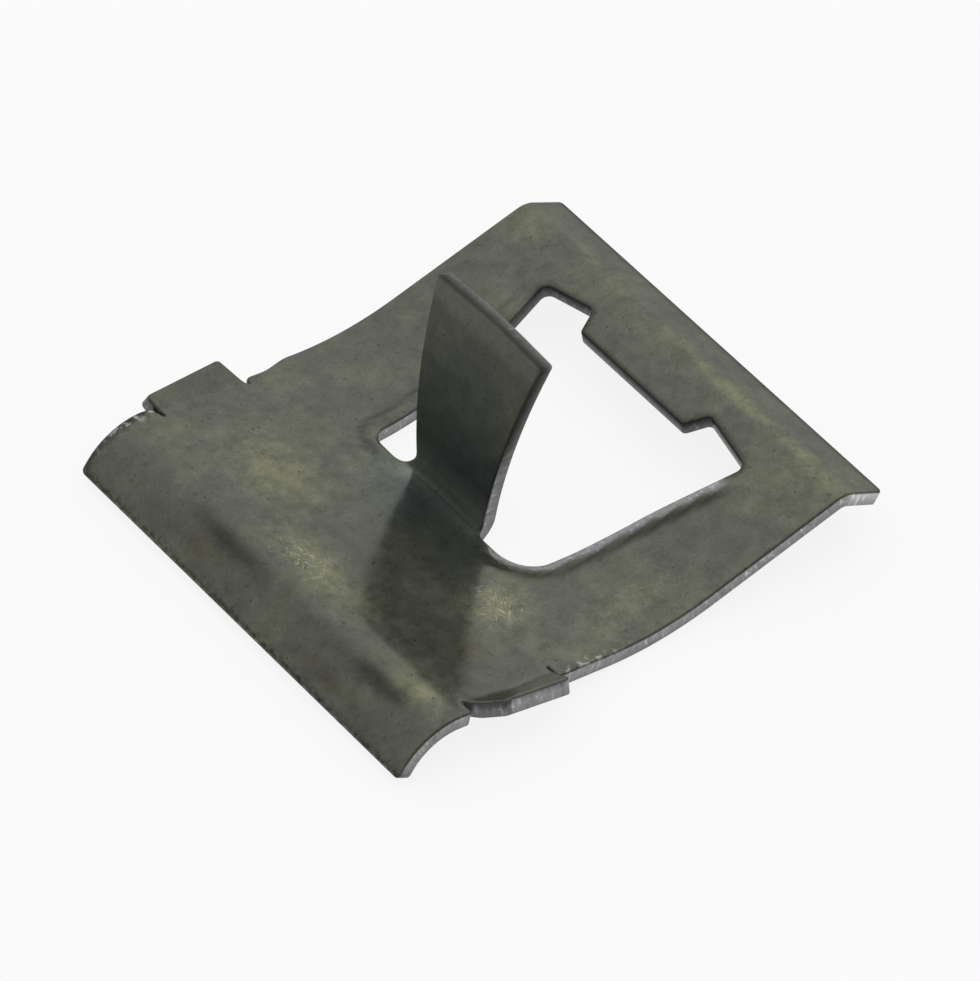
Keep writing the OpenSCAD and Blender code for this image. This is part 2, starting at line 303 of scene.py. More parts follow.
def follow(stretches, at, start):
    """Place and heading on a chain of flats and arcs at the arc lengths `at`.

    A stretch is (length, turn). Along one, the heading grows by k = turn / length, so the place is
    ((sin(a + k u) - sin a) / k, (cos a - cos(a + k u)) / k), or a straight run where k is zero.
    """
    at = np.asarray(at, float)
    x, z, a = start
    begin = 0.0
    found = np.zeros((3, *at.shape))
    for run, turn in stretches:
        u, k = np.append(at - begin, run), turn / run
        heading = a + k * u
        if k == 0:
            chain = np.stack([x + u * math.cos(a), z + u * math.sin(a), heading])
        else:
            chain = np.stack([
                x + (np.sin(heading) - math.sin(a)) / k, z + (math.cos(a) - np.cos(heading)) / k, heading])
        here = chain[:, :-1].reshape(found.shape)
        found = np.where((at >= begin) | (begin == 0), here, found)
        x, z, a = chain[:, -1]
        begin += run
    return found


def strip_of(c):
    """The strip's stretches from heel edge to toe edge, and where it starts at rest.

    At rest the heel lip's foot and the belly touch one level, which gives the lip's slope from
    a sin(slope) + b cos(slope) = belly_r + sheet.
    """
    stretches = [
        (c.heel_lip, 0), (c.heel_r * c.heel_turn, -c.heel_turn), (c.wing_len, 0),
        (c.belly_r * c.belly_turn, c.belly_turn), (c.toe_flat, 0), (c.toe_r * c.toe_turn, -c.toe_turn),
        (c.toe_lip, 0)]
    sin, cos, both = math.sin(c.heel_turn), math.cos(c.heel_turn), c.heel_r + c.belly_r
    a = c.heel_lip + both * sin + c.wing_len * cos
    b = both * cos - (c.heel_r - c.sheet) - c.wing_len * sin
    slope = math.atan2(a, b) - math.acos((c.belly_r + c.sheet) / math.hypot(a, b))
    total = sum(run for run, _ in stretches)
    reach = follow(stretches, total, (0, 0, slope))[0]
    return stretches, (-reach / 2, c.sheet * math.cos(slope), slope), total


def stations_of(c):
    """Named places along the blank, measured on its top face from the heel edge."""
    stretches, start, total = strip_of(c)
    wing = c.heel_lip + c.heel_r * c.heel_turn
    bend = wing + c.wing_len - c.root_land
    table = np.linspace(0, total, PLAN_POINTS)
    plan = follow(stretches, table, start)[0]
    root = bend - c.slot_relief
    tab_x = np.interp(root, table, plan) + c.window_len
    notch_x = tab_x + c.notch_depth
    outer_x = notch_x - c.notch_slant
    tab, notch, outer = (float(np.interp(x, plan, table)) for x in (tab_x, notch_x, outer_x))
    tip = bend + c.tongue_bend_r * c.tongue_turn + c.blade_len
    ear = wing + c.ear_start
    return SimpleNamespace(
        total=total, bend=bend, root=root, tab=tab, notch=notch, outer=outer, tip=tip, ear=ear,
        ear_end=ear + c.ear_len, ear_line=c.clip_w / 2 - c.ear_inset, ear_bend=c.ear_bend_r * c.ear_turn)


def rounded(corners):
    """A closed outline through corners (s, y, radius), in short steps, with an arc at every corner.

    An arc of sweep w runs from p to q about its centre as (p sin(w - f) + q sin f) / sin w.
    """
    corners = np.array(corners, float)
    tip, radius = corners[:, :2], corners[:, 2]
    to_last = np.roll(tip, 1, 0) - tip
    to_next = np.roll(tip, -1, 0) - tip
    u = to_last / np.linalg.norm(to_last, axis=1, keepdims=True)
    v = to_next / np.linalg.norm(to_next, axis=1, keepdims=True)
    half = np.arccos(np.clip((u * v).sum(1), -1, 1)) / 2
    middle = (u + v) / np.linalg.norm(u + v, axis=1, keepdims=True)
    centre = tip + middle * (radius / np.sin(half))[:, None]
    cut = (radius / np.tan(half))[:, None]
    first, last = tip + u * cut, tip + v * cut
    points = []
    for i in range(len(tip)):
        sweep = math.pi - 2 * half[i]
        n = max(2, math.ceil(sweep / CORNER_STEP), math.ceil(sweep * radius[i] / OUTLINE_STEP))
        f = np.linspace(0, sweep, n + 1)[:, None]
        p, q = first[i] - centre[i], last[i] - centre[i]
        points.append(centre[i] + (p * np.sin(sweep - f) + q * np.sin(f)) / math.sin(sweep))
        gap = first[(i + 1) % len(tip)] - last[i]
        steps = max(1, math.ceil(np.linalg.norm(gap) / OUTLINE_STEP))
        points.append(last[i] + gap * (np.arange(1, steps) / steps)[:, None])
    return np.concatenate(points)


def ear_ends(c, at, y):
    """Where both ends of the ear on the side of y lie along the blank at that y.

    They slant in a straight line from the ear's bend line to its tip.
    """
    near = y < 0
    out = abs(y) - at.ear_line
    heel = np.where(near, c.near_heel_slant, c.far_heel_slant) / (at.ear_bend + c.ear_heel_len)
    toe = np.where(near, c.near_toe_slant, c.far_toe_slant) / (at.ear_bend + c.ear_toe_len)
    return at.ear + heel * out, at.ear_end + toe * out


def side_outline(c, at, hand):
    """Corners (s, y, radius) of one side of the blank from heel to toe, with a slit at the ear's ends."""
    side, line = c.clip_w / 2, at.ear_line
    heel_tip, toe_tip = line + at.ear_bend + c.ear_heel_len, line + at.ear_bend + c.ear_toe_len
    heel_mouth, toe_mouth = ear_ends(c, at, hand * side)[0] - c.ear_slit, at.ear_end + c.ear_slit
    corners = [
        (0, side, c.corner_r),
        (min(heel_mouth, at.ear - c.ear_slit), side, c.slit_mouth_r),
        (at.ear - c.ear_slit, line, c.slit_end_r),
        (at.ear, line, c.slit_end_r), (ear_ends(c, at, hand * heel_tip)[0], heel_tip, c.ear_corner_r),
        (ear_ends(c, at, hand * toe_tip)[1], toe_tip, c.ear_corner_r), (at.ear_end, line, c.slit_end_r),
        (toe_mouth, line, c.slit_end_r)]
    if hand > 0:
        corners += [
            (toe_mouth, side - c.scallop, c.scallop_r),
            (toe_mouth + c.scallop_len / 2, side - c.scallop, c.scallop_len),
            (toe_mouth + c.scallop_len, side, c.scallop_len)]
    else:
        corners += [(toe_mouth, side, c.slit_mouth_r)]
    return [(s, hand * y, r) for s, y, r in corners + [(at.total, side, c.corner_r)]]


def outer_outline(c, at):
    """The blank's outline, counter-clockwise."""
    return rounded(side_outline(c, at, -1) + side_outline(c, at, 1)[::-1])


def window_outline(c, at):
    """The window's outline round the tongue that lies in it, clockwise, so that the steel is on its left.

    The tongue's tip and the window's sides bow: their middle points are corners of a very large radius.
    """
    mid = c.tongue_shift
    waist = (at.root + at.outer) / 2
    # A little over the die roll, so that the edge's rings do not cross
    tip_r = 1.2 * c.die_roll
    crown_r = (c.tongue_tip_w / 2) ** 2 / (4 * c.tip_crown)
    far, near = (
        [
            (at.tip, mid + hand * c.tongue_tip_w / 2, tip_r),
            (at.root, mid + hand * c.tongue_root_w / 2, fillet),
            (at.root, hand * c.window_root_w / 2, slot_r),
            (waist, hand * c.window_waist_w / 2, c.window_side_r),
            (at.outer, hand * c.window_toe_w / 2, c.toe_corner_r),
            (at.notch, mid + hand * c.tab_base_w / 2, c.tab_corner_r),
            (at.tab, mid + hand * c.tab_tip_w / 2, c.tab_corner_r)]
        for hand, fillet, slot_r in (
            (1, c.tongue_fillet, c.root_corner_r), (-1, c.near_fillet, c.near_slot_r)))
    return rounded(far + near[::-1] + [(at.tip + 2 * c.tip_crown, mid, crown_r)])


def edge_rings(c, outline):
    """The sheared edge carried round an outline, as rings of blank points from top face to lower face.

    The profile is a quarter circle of the die roll, a straight wall and a smaller quarter circle. Each ring
    is the outline moved inwards by the profile's inset, along the mean normal of its two nearest steps.
    """
    turn = np.linspace(0, math.pi / 2, ROLL_POINTS)
    inset = np.concatenate([c.die_roll * (1 - np.sin(turn)), c.burr_r * (1 - np.cos(turn[::2]))])
    height = np.concatenate([c.die_roll * (np.cos(turn) - 1), c.burr_r * (1 - np.sin(turn[::2])) - c.sheet])
    along = np.roll(outline, -1, 0) - np.roll(outline, 1, 0)
    inward = np.stack([-along[:, 1], along[:, 0]], 1) / np.linalg.norm(along, axis=1, keepdims=True)
    flat = outline + inset[:, None, None] * inward
    return np.concatenate([flat, np.broadcast_to(height[:, None, None], (*flat.shape[:2], 1))], 2)


def distance_to(points, outline):
    """Distance from points (s, y) to the nearest point of an outline, in blocks to spare memory."""
    blocks = np.array_split(points, BLOCKS)
    return np.concatenate([np.sqrt(((block[:, None] - outline) ** 2).sum(2).min(1)) for block in blocks])


def steps_along(stretches):
    """Arc lengths along a chain, close together on its tight bends and wide apart on its flats."""
    begin, found = 0.0, [np.zeros(1)]
    for run, turn in stretches:
        n = math.ceil(max(run / FLAT_STEP, abs(turn) / BEND_STEP))
        found.append(begin + run * np.arange(1, n + 1) / n)
        begin += run
    return np.concatenate(found)


def grid(rows, columns):
    """All pairs of a row and a column, as points."""
    return np.stack(np.meshgrid(rows, columns, indexing="ij"), -1).reshape(-1, 2)


def tongue_stretches(c):
    """The tongue's chain from its bend line: the bend up, then the blade, leaning on a large radius."""
    return [(c.tongue_bend_r * c.tongue_turn, c.tongue_turn), (c.blade_len, -c.blade_len / c.blade_r)]


def ear_stretches(c):
    """An ear's chain out from its bend line: the bend up, then a flat as long as the ear's toe end."""
    return [(c.ear_bend_r * c.ear_turn, c.ear_turn), (c.ear_toe_len, 0)]


def face_points(c, at, loops):
    """Points of the sheet's face inside its outlines: grids of the strip, the tongue and both ears."""
    strip = strip_of(c)[0]
    columns = np.arange(-c.clip_w / 2, c.clip_w / 2, FLAT_STEP)
    plate = grid(steps_along(strip), columns)
    tongue = grid(at.bend + steps_along(tongue_stretches(c)), columns)
    tongue = tongue[abs(tongue[:, 1] - c.tongue_shift) < c.tongue_tip_w / 2 + c.tongue_fillet]
    rise = at.ear_line + steps_along(ear_stretches(c))
    ears = grid(np.arange(at.ear, at.ear_end, FLAT_STEP), np.concatenate([-rise, rise]))
    in_tongue = (plate[:, 0] > at.bend) & (plate[:, 0] < at.tip + c.tip_crown)
    in_tongue &= abs(plate[:, 1] - c.tongue_shift) < c.window_root_w / 2 - TONGUE_ROOM
    in_ears = (plate[:, 0] > at.ear - FLAT_STEP / 2) & (plate[:, 0] < at.ear_end)
    in_ears &= abs(plate[:, 1]) > at.ear_line - FLAT_STEP / 2
    points = np.concatenate([plate[~(in_tongue | in_ears)], tongue, ears])
    inside = in_outline(points, loops[0]) & ~in_outline(points, loops[1])
    points = points[inside]
    clear = distance_to(points, np.concatenate(loops))
    return points[clear > OUTLINE_STEP / 2]


def in_outline(points, outline):
    """Whether points lie in a closed outline: a ray from such a point crosses it an odd number of times."""
    a, b = outline, np.roll(outline, -1, 0)
    rise = b[:, 1] - a[:, 1]
    slope = (b[:, 0] - a[:, 0]) / np.where(rise == 0, 1, rise)
    blocks = []
    for block in np.array_split(points, BLOCKS):
        s, y = block[:, :1], block[:, 1:]
        crosses = ((a[:, 1] > y) != (b[:, 1] > y)) & (s < a[:, 0] + (y - a[:, 1]) * slope)
        blocks.append(crosses.sum(1) % 2 == 1)
    return np.concatenate(blocks)


def fill(c, at, rings):
    """Triangles of one face between its two outline rings, with the face's own points between them."""
    loops = [ring[:, :2] for ring in rings]
    inner = face_points(c, at, loops)
    points = np.concatenate([*loops, inner])
    n, m = len(loops[0]), len(loops[1])
    edges = [(np.arange(k) + first, (np.arange(k) + 1) % k + first) for k, first in ((n, 0), (m, n))]
    edges = np.concatenate([np.stack(e, 1) for e in edges])
    made = delaunay_2d_cdt(points.tolist(), edges.tolist(), [], 1, JOINED)
    if len(made[0]) != len(points) or not np.allclose(np.array(made[0]), points, atol=MOVED):
        raise RuntimeError("the outlines of the blank cross each other")
    triangles = np.array(made[2])
    in_steel = ~in_outline(points[triangles].mean(1), loops[1])
    return inner, triangles[in_steel]


def on_tongue(c, at, s, y):
    """Whether blank points are on the tongue, past its bend line."""
    along = (s > at.bend) & (s < (at.tip + at.tab) / 2)
    return along & (abs(y - c.tongue_shift) < c.window_root_w / 2 - TONGUE_ROOM)


def bend_blank(c, at, blank):
    """Carries blank points (s, y, height) through the bends.

    A point of the strip goes to the strip's place at s, plus its height along the sheet's normal there. A
    point of the tongue or of an ear first takes a second chain of bends that starts at its bend line.
    """
    s, y, h = blank.T
    strip, start = strip_of(c)[:2]
    raised = on_tongue(c, at, s, y)
    slit = c.ear_slit / 2
    heel_end, toe_end = ear_ends(c, at, y)
    on_ear = (abs(y) > at.ear_line) & (s > heel_end - slit) & (s < toe_end + slit)

    x, z, a = follow(strip, np.where(raised, at.bend, s), start)
    tongue = follow(tongue_stretches(c), np.where(raised, s - at.bend, 0), follow(strip, at.bend, start))
    x, z, a = np.where(raised, tongue, (x, z, a))

    out, up, lean = follow(ear_stretches(c), np.where(on_ear, abs(y) - at.ear_line, 0), (at.ear_line, 0, 0))
    side = np.where(on_ear, np.sign(y) * (out - h * np.sin(lean)), y)
    rise = np.where(on_ear, up + h * np.cos(lean), h)
    return np.stack([x - rise * np.sin(a), side, z + rise * np.cos(a)], 1)


def clip_mesh(c):
    """The whole clip as one closed mesh: two faces and two sheared edges, bent to shape.

    Returns the bent points in millimetres, the faces and the finish's maps over the points.
    """
    at = stations_of(c)
    outlines = [outer_outline(c, at), window_outline(c, at)]
    rings = [edge_rings(c, outline) for outline in outlines]
    flat, faces, ends = [], [], []
    first = 0
    for ring in rings:
        layers, n = ring.shape[:2]
        index = first + np.arange(layers * n).reshape(layers, n)
        after = np.roll(index, -1, 1)
        faces += np.stack([index[:-1], index[1:], after[1:], after[:-1]], -1).reshape(-1, 4).tolist()
        flat.append(ring.reshape(-1, 3))
        ends.append((index[0], index[-1]))
        first += layers * n
    for layer, height, order in ((0, 0.0, 1), (-1, -c.sheet, -1)):
        inner, triangles = fill(c, at, [ring[layer] for ring in rings])
        table = np.concatenate([ends[0][layer], ends[1][layer], first + np.arange(len(inner))])
        faces += table[triangles][:, ::order].tolist()
        flat.append(np.column_stack([inner, np.full(len(inner), height)]))
        first += len(inner)
    flat = np.concatenate(flat)
    to_window = distance_to(flat[:, :2], outlines[1])
    lifted = flat + np.outer(rim_rise(c, at, flat, to_window), (0, 0, 1))
    return bend_blank(c, at, lifted), faces, finish_maps(c, at, flat, to_window)


def smooth(x, low, high):
    """0 below low, 1 above high, and a smooth step 3 t^2 - 2 t^3 between."""
    t = np.clip((x - low) / (high - low), 0, 1)
    return t * t * (3 - 2 * t)


def bell(x, middle, half):
    """A bell exp(-((x - middle) / half)^2)."""
    return np.exp(-(((x - middle) / half) ** 2))


def beside_tongue(c, at, flat):
    """1 along the window's sides, and 0 on the tongue, beside its root and at the window's toe end."""
    s, y = flat[:, 0], flat[:, 1]
    beside = abs(y - c.tongue_shift) - c.tongue_root_w / 2 - c.tongue_fillet
    share = smooth(beside, *BANDS.beside_root) * smooth(at.outer - s, *BANDS.before_toe_end)
    return np.where(on_tongue(c, at, s, y), 0, share)


def rim_rise(c, at, flat, to_window):
    """How far the rim along the window's sides is pulled up and rolled: a bell about the rim's crest line."""
    return c.rim_lift * beside_tongue(c, at, flat) * bell(to_window, c.rim_crest, c.rim_reach)


def finish_maps(c, at, flat, to_window):
    """Maps over the blank that the finish reads, as arrays with one value for each point.

    blank is the flat place. sheared is the share of bare steel: the walls, and along the window's near rim a
    band of bare steel painted as the rim's highlight. worn is the share of chipped finish, oily that of dried
    oil, and dull is 1 on the tongue. tone is what the colour is multiplied by: less than one where shade is
    painted, up the tongue, in creases, along rolled edges and on walls, and along darker lines at the heel
    and far side, and more than one where light is painted and on a lighter patch of the wing. A patch is a
    round bell exp(-(ds / a)^2 - (dy / b)^2) on the top face.
    """
    s, y, h = flat.T
    top = smooth(h, -c.sheet, 0)
    rolled = -h / c.die_roll
    wall = smooth(rolled, *SHARES.bare_wall) * smooth(c.sheet + h, 0, 2 * c.burr_r)
    face = top * (1 - wall)
    maps = {"blank": flat}
    for kind, patches in PATCHES.items():
        bells = [share * bell(s, s0, a) * bell(y, y0, b) for s0, y0, a, b, share in patches]
        maps[kind] = np.clip(sum(bells), 0, 1) * top

    side = beside_tongue(c, at, flat)
    raised = on_tongue(c, at, s, y)
    up = np.clip((s - at.bend) / (at.tip - at.bend), 0, 1)
    past_far, past_near = y - c.clip_w / 2, -y - c.clip_w / 2
    heel_end = ear_ends(c, at, y)[0]
    before_ear = s < heel_end - c.ear_slit / 2
    # Bare steel painted along the window's near rim as its highlight
    rim_highlight = (1 - smooth(to_window, *BANDS.rim_highlight_band)) * smooth(side, *SHARES.pulled_rim) * (y < 0) * top
    far_heel = smooth(past_far, *BANDS.far_chips) * before_ear * smooth(s, *BANDS.past_heel)
    near_toe = smooth(past_near, *BANDS.near_chips) * (s > at.ear_end) * bell(s - at.ear_end, *LINES.past_ear)
    heel_edge = (1 - smooth(s, *BANDS.heel_chips)) * (1 - wall)
    chips = (WEAR.far_heel * far_heel, WEAR.near_toe * near_toe, WEAR.heel * heel_edge)
    maps["worn"] = np.max(chips, axis=0) * top
    maps["oily"] = np.maximum(maps["worn"], WEAR.oily_heel * heel_edge * top)
    coated = (1 - smooth(-h, *BANDS.coat)) * raised * smooth(up, *SHARES.coat)
    # Bare steel on the walls, and on the window's near rim as a painted highlight
    maps["sheared"] = np.maximum(wall * (1 - coated), WEAR.rim_highlight_share * rim_highlight)
    maps["dull"] = raised.astype(float)

    middle = 1 - smooth(abs(y - c.tongue_shift), c.tongue_root_w / 2, c.tongue_root_w / 2 + c.tongue_fillet)
    up_tone = np.interp(s - at.bend, *np.array(TONGUE_TONES).T)
    past_outer, past_lip = s - at.outer, s - (at.total - c.toe_lip)
    toe_end = smooth(past_outer, *BANDS.toe_end) * ~raised
    toe_walls = np.where(y > 0, smooth(past_outer, *BANDS.far_toe_walls), toe_end) * ~raised
    shaded = {
        # Painted shade up the tongue, and painted light in the crease of its bend
        "tongue": (1 - up_tone) * np.maximum(middle * (s < at.tip), raised) * face,
        # Painted shade in the crease at the rim's foot, and a painted shade line along the window's toe end
        "rim_foot": bell(to_window, *LINES.rim_foot) * side * top,
        "window_toe": (1 - smooth(to_window, *BANDS.window_toe)) * toe_end * top,
        # Painted shade on the die roll of the edges, but not on the rim's painted highlight
        "rolled_edges": (
            smooth(rolled, *SHARES.roll_starts) * (1 - smooth(rolled, *SHARES.roll_ends)) * (1 - rim_highlight)),
        # A darker line along the heel edge, and a painted shadow line along the toe edge
        "heel_line": bell(s, *LINES.heel) * face,
        "toe_line": bell(at.total - s, *LINES.toe) * face,
        # Painted shade on the walls at the toe end, darker heel walls, and painted light on the toe lip's end
        # wall
        "toe_walls": wall * toe_walls * (to_window < ON_WINDOW),
        "heel_walls": wall * (1 - smooth(s, *BANDS.heel_walls)),
        "lip_walls": wall * smooth(past_lip, *BANDS.lip_walls) * (s < at.total - ON_TOE),
        "far_line": smooth(past_far, *BANDS.far_line) * before_ear * face,
        # Painted shade on the tongue's walls, on its coated walls and on the ears' heel ends
        "tongue_walls": wall * raised * smooth(up, *SHARES.oiled_walls),
        "coated_walls": wall * coated,
        "ear_walls": wall * (abs(s - heel_end) < c.ear_corner_r) * (abs(y) > at.ear_line),
        # Painted shade across the heel's crest, and a lighter patch on the wing
        "dark": maps.pop("dark"), "pale": maps.pop("pale")}
    maps["tone"] = np.prod([1 - SHADES[kind] * mask for kind, mask in shaded.items()], axis=0)
    return maps


def add_node(tree, kind, inputs=None, **settings):
    """Adds a node, with its settings and with its inputs linked to a socket or set to a value."""
    made = tree.nodes.new(kind)
    for name, value in settings.items():
        setattr(made, name, value)
    for key, value in (inputs or {}).items():
        if isinstance(value, bpy.types.NodeSocket):
            tree.links.new(value, made.inputs[key])
        else:
            made.inputs[key].default_value = value
    return made


def phosphated_spring_steel(finish):
    """Spring steel, blanked and bent, with a thin phosphate finish and dried oil.

    To the eye it is a dull, dark metal that mirrors its surroundings softly: grey with a green cast, clouded
    and grained, yellower in patches, with small pits and fine scratches. Where the sheet was sheared, it is
    bare grey steel with bright grains painted near-white as glints. A tone map paints shade, and in places
    light, into its colour.
    """
    material = bpy.data.materials.new("phosphated_spring_steel")
    material.use_nodes = True
    tree = material.node_tree
    tree.nodes.clear()
    blank = add_node(tree, "ShaderNodeAttribute", attribute_name="blank").outputs["Vector"]
    sheared, tone, dull, worn, oily, olive, brown, blued, scratched = (
        add_node(tree, "ShaderNodeAttribute", attribute_name=name).outputs["Fac"] for name in (
            "sheared", "tone", "dull", "worn", "oily", "olive_patch", "brown_patch", "blued", "scratched"))

    # The specks are the torn grains of the sheared edges, which are longer through the sheet
    torn_way = add_node(tree, "ShaderNodeMapping", {"Vector": blank, "Scale": (1, 1, TORN_SHARE)}).outputs[0]
    cloud, haze, mottle, grain, speck = (
        add_node(tree, "ShaderNodeTexNoise", {
            "Vector": torn_way if name == "speck" else blank, "Scale": 1 / size, "Detail": detail,
            "Roughness": rough}).outputs["Fac"]
        for name, (size, detail, rough) in NOISES.items())

    # Body: grey to olive by clouds and by patches, some of which paint light, blue-grey where shade and
    # reflection are painted, brown where the oil is old, then lighter and darker haze
    cloudy = add_node(tree, "ShaderNodeMapRange", {
        "Value": cloud, "From Min": 0.45, "From Max": 0.75, "To Max": 0.55})
    blotchy = add_node(tree, "ShaderNodeMapRange", {
        "Value": haze, "From Min": 0.35, "From Max": 0.65, "To Min": 0.3, "To Max": 1.4})
    green = add_node(tree, "ShaderNodeMath", {
        0: olive, 1: blotchy.outputs["Result"], 2: cloudy.outputs["Result"]},
        operation="MULTIPLY_ADD", use_clamp=True)
    body = add_node(tree, "ShaderNodeMix", {
        "Factor": green.outputs[0], MIX_A: finish.steel, MIX_B: finish.olive}, data_type="RGBA")
    for share, tint in ((blued, finish.blued), (brown, finish.brown)):
        body = add_node(tree, "ShaderNodeMix", {
            "Factor": share, MIX_A: body.outputs[MIX_OUT], MIX_B: tint}, data_type="RGBA")
    hazy = add_node(tree, "ShaderNodeMapRange", {
        "Value": haze, "From Min": 0.3, "From Max": 0.7, "To Min": 0.8, "To Max": 1.2})
    grainy = add_node(tree, "ShaderNodeMapRange", {
        "Value": grain, "From Min": 0.3, "From Max": 0.7, "To Min": 0.9, "To Max": 1.1})
    spotted = add_node(tree, "ShaderNodeMapRange", {
        "Value": mottle, "From Min": 0.42, "From Max": 0.3, "To Min": 1.0, "To Max": 0.8})
    depth = add_node(tree, "ShaderNodeMath", {
        0: hazy.outputs["Result"], 1: grainy.outputs["Result"]}, operation="MULTIPLY")
    depth = add_node(tree, "ShaderNodeMath", {
        0: depth.outputs[0], 1: spotted.outputs["Result"]}, operation="MULTIPLY")
    coat = add_node(tree, "ShaderNodeVectorMath", {
        0: body.outputs[MIX_OUT], "Scale": depth.outputs[0]}, operation="SCALE")

    # Pits: the middles of some of the net's cells, of uneven depth
    net = add_node(tree, "ShaderNodeTexVoronoi", {
        "Vector": blank, "Scale": 1 / PIT_NET}, voronoi_dimensions="2D")
    pit = add_node(tree, "ShaderNodeMapRange", {
        "Value": net.outputs["Distance"], "From Min": 0.09, "From Max": 0.03})
    deep = add_node(tree, "ShaderNodeMapRange", {
        "Value": net.outputs["Color"], "From Min": 0.55, "From Max": 0.9, "To Max": 0.7})
    pitted = add_node(tree, "ShaderNodeMath", {
        0: pit.outputs["Result"], 1: deep.outputs["Result"]}, operation="MULTIPLY")
    coat = add_node(tree, "ShaderNodeMix", {
        "Factor": pitted.outputs[0], MIX_A: coat.outputs[0], MIX_B: finish.pit}, data_type="RGBA")

    # Scratches: short crooked strokes three ways, drawn wider than they are so that they show
    for turn in SCRATCH_WAYS:
        along = add_node(tree, "ShaderNodeMapping", {
            "Vector": blank, "Rotation": (0, 0, math.radians(turn)), "Scale": (*SCRATCH, 1)},
            vector_type="TEXTURE")
        stroke = add_node(tree, "ShaderNodeTexNoise", {
            "Vector": along.outputs[0], "Scale": 1, "Detail": 1, "Distortion": 1.2})
        drawn = add_node(tree, "ShaderNodeMapRange", {
            "Value": stroke.outputs["Fac"], "From Min": 0.63, "From Max": 0.73, "To Max": 0.9})
        there = add_node(tree, "ShaderNodeMath", {
            0: drawn.outputs["Result"], 1: scratched}, operation="MULTIPLY")
        coat = add_node(tree, "ShaderNodeMix", {
            "Factor": there.outputs[0], MIX_A: coat.outputs[MIX_OUT], MIX_B: finish.scratch},
            data_type="RGBA")

    # Worn edges: bright flakes where the finish is chipped, and dark ones of dried oil
    for share, low, high, tint in ((worn, 0.53, 0.6, finish.glint), (oily, 0.48, 0.4, finish.pit)):
        flake = add_node(tree, "ShaderNodeMapRange", {"Value": mottle, "From Min": low, "From Max": high})
        chip = add_node(tree, "ShaderNodeMath", {0: flake.outputs["Result"], 1: share}, operation="MULTIPLY")
        coat = add_node(tree, "ShaderNodeMix", {
            "Factor": chip.outputs[0], MIX_A: coat.outputs[MIX_OUT], MIX_B: tint}, data_type="RGBA")

    # Sheared steel: bright grains painted near-white as glints, and dark torn bits
    bright = add_node(tree, "ShaderNodeMapRange", {
        "Value": speck, "From Min": 0.56, "From Max": 0.72, "To Max": 0.75})
    torn = add_node(tree, "ShaderNodeMapRange", {
        "Value": speck, "From Min": 0.44, "From Max": 0.3, "To Max": 0.4})
    edge = add_node(tree, "ShaderNodeMix", {
        "Factor": bright.outputs["Result"], MIX_A: finish.bare, MIX_B: finish.glint}, data_type="RGBA")
    edge = add_node(tree, "ShaderNodeMix", {
        "Factor": torn.outputs["Result"], MIX_A: edge.outputs[MIX_OUT], MIX_B: finish.pit},
        data_type="RGBA")
    steel = add_node(tree, "ShaderNodeMix", {
        "Factor": sheared, MIX_A: coat.outputs[MIX_OUT], MIX_B: edge.outputs[MIX_OUT]}, data_type="RGBA")
    # The tone map paints shade and light into the colour
    toned = add_node(tree, "ShaderNodeVectorMath", {
        0: steel.outputs[MIX_OUT], "Scale": tone}, operation="SCALE")

    rough = add_node(tree, "ShaderNodeMapRange", {
        "Value": haze, "From Min": 0.3, "From Max": 0.7, "To Min": 0.12, "To Max": 0.22})
    rubbed = add_node(tree, "ShaderNodeMath", {
        0: dull, 1: TONGUE_DULL, 2: rough.outputs["Result"]}, operation="MULTIPLY_ADD")
    dents = add_node(tree, "ShaderNodeBump", {"Height": haze, "Strength": 1.0, "Distance": DENT_DEPTH * MM})
    grains = add_node(tree, "ShaderNodeBump", {
        "Height": grain, "Strength": 1.0, "Distance": GRAIN_DEPTH * MM, "Normal": dents.outputs["Normal"]})
    shader = add_node(tree, "ShaderNodeBsdfPrincipled", {
        "Base Color": toned.outputs[0], "Metallic": 0.62, "Roughness": rubbed.outputs[0],
        "Specular IOR Level": 0.3, "Specular Tint": finish.grazing,
        "Normal": grains.outputs["Normal"]})
    add_node(tree, "ShaderNodeOutputMaterial", {"Surface": shader.outputs["BSDF"]})
    return material


class MOLDING_OT_clip(bpy.types.Operator):
    """Build the clip from its flat blank"""

    bl_idname = "molding.clip"
    bl_label = "Build Clip"

    def execute(self, context):
        c = in_mm(context.scene.clip_sizes)
        points, faces, maps = clip_mesh(c)
        mesh = bpy.data.meshes.new("clip")
        mesh.from_pydata((points * MM).tolist(), [], faces)
        mesh.shade_smooth()
        for name, values in maps.items():
            kind, field = ("FLOAT", "value") if values.ndim == 1 else ("FLOAT_VECTOR", "vector")
            layer = mesh.attributes.new(name, kind, "POINT")
            layer.data.foreach_set(field, values.astype(np.float32).ravel())
        mesh.materials.append(phosphated_spring_steel(context.scene.clip_finish))
        clip = bpy.data.objects.new("clip", mesh)
        context.scene.collection.objects.link(clip)
        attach(clip, "root")
        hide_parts(CAD_NODE)
        return {"FINISHED"}


class MOLDING_OT_stage(bpy.types.Operator):
    """Add the floor, the light and the camera"""

    bl_idname = "molding.stage"
    bl_label = "Build Stage"

    def execute(self, context):
        stage = context.scene.clip_stage
        add_floor(context, stage)
        add_light(context, stage)
        add_camera(context, stage)
        context.scene.view_settings.view_transform = "Standard"
        return {"FINISHED"}


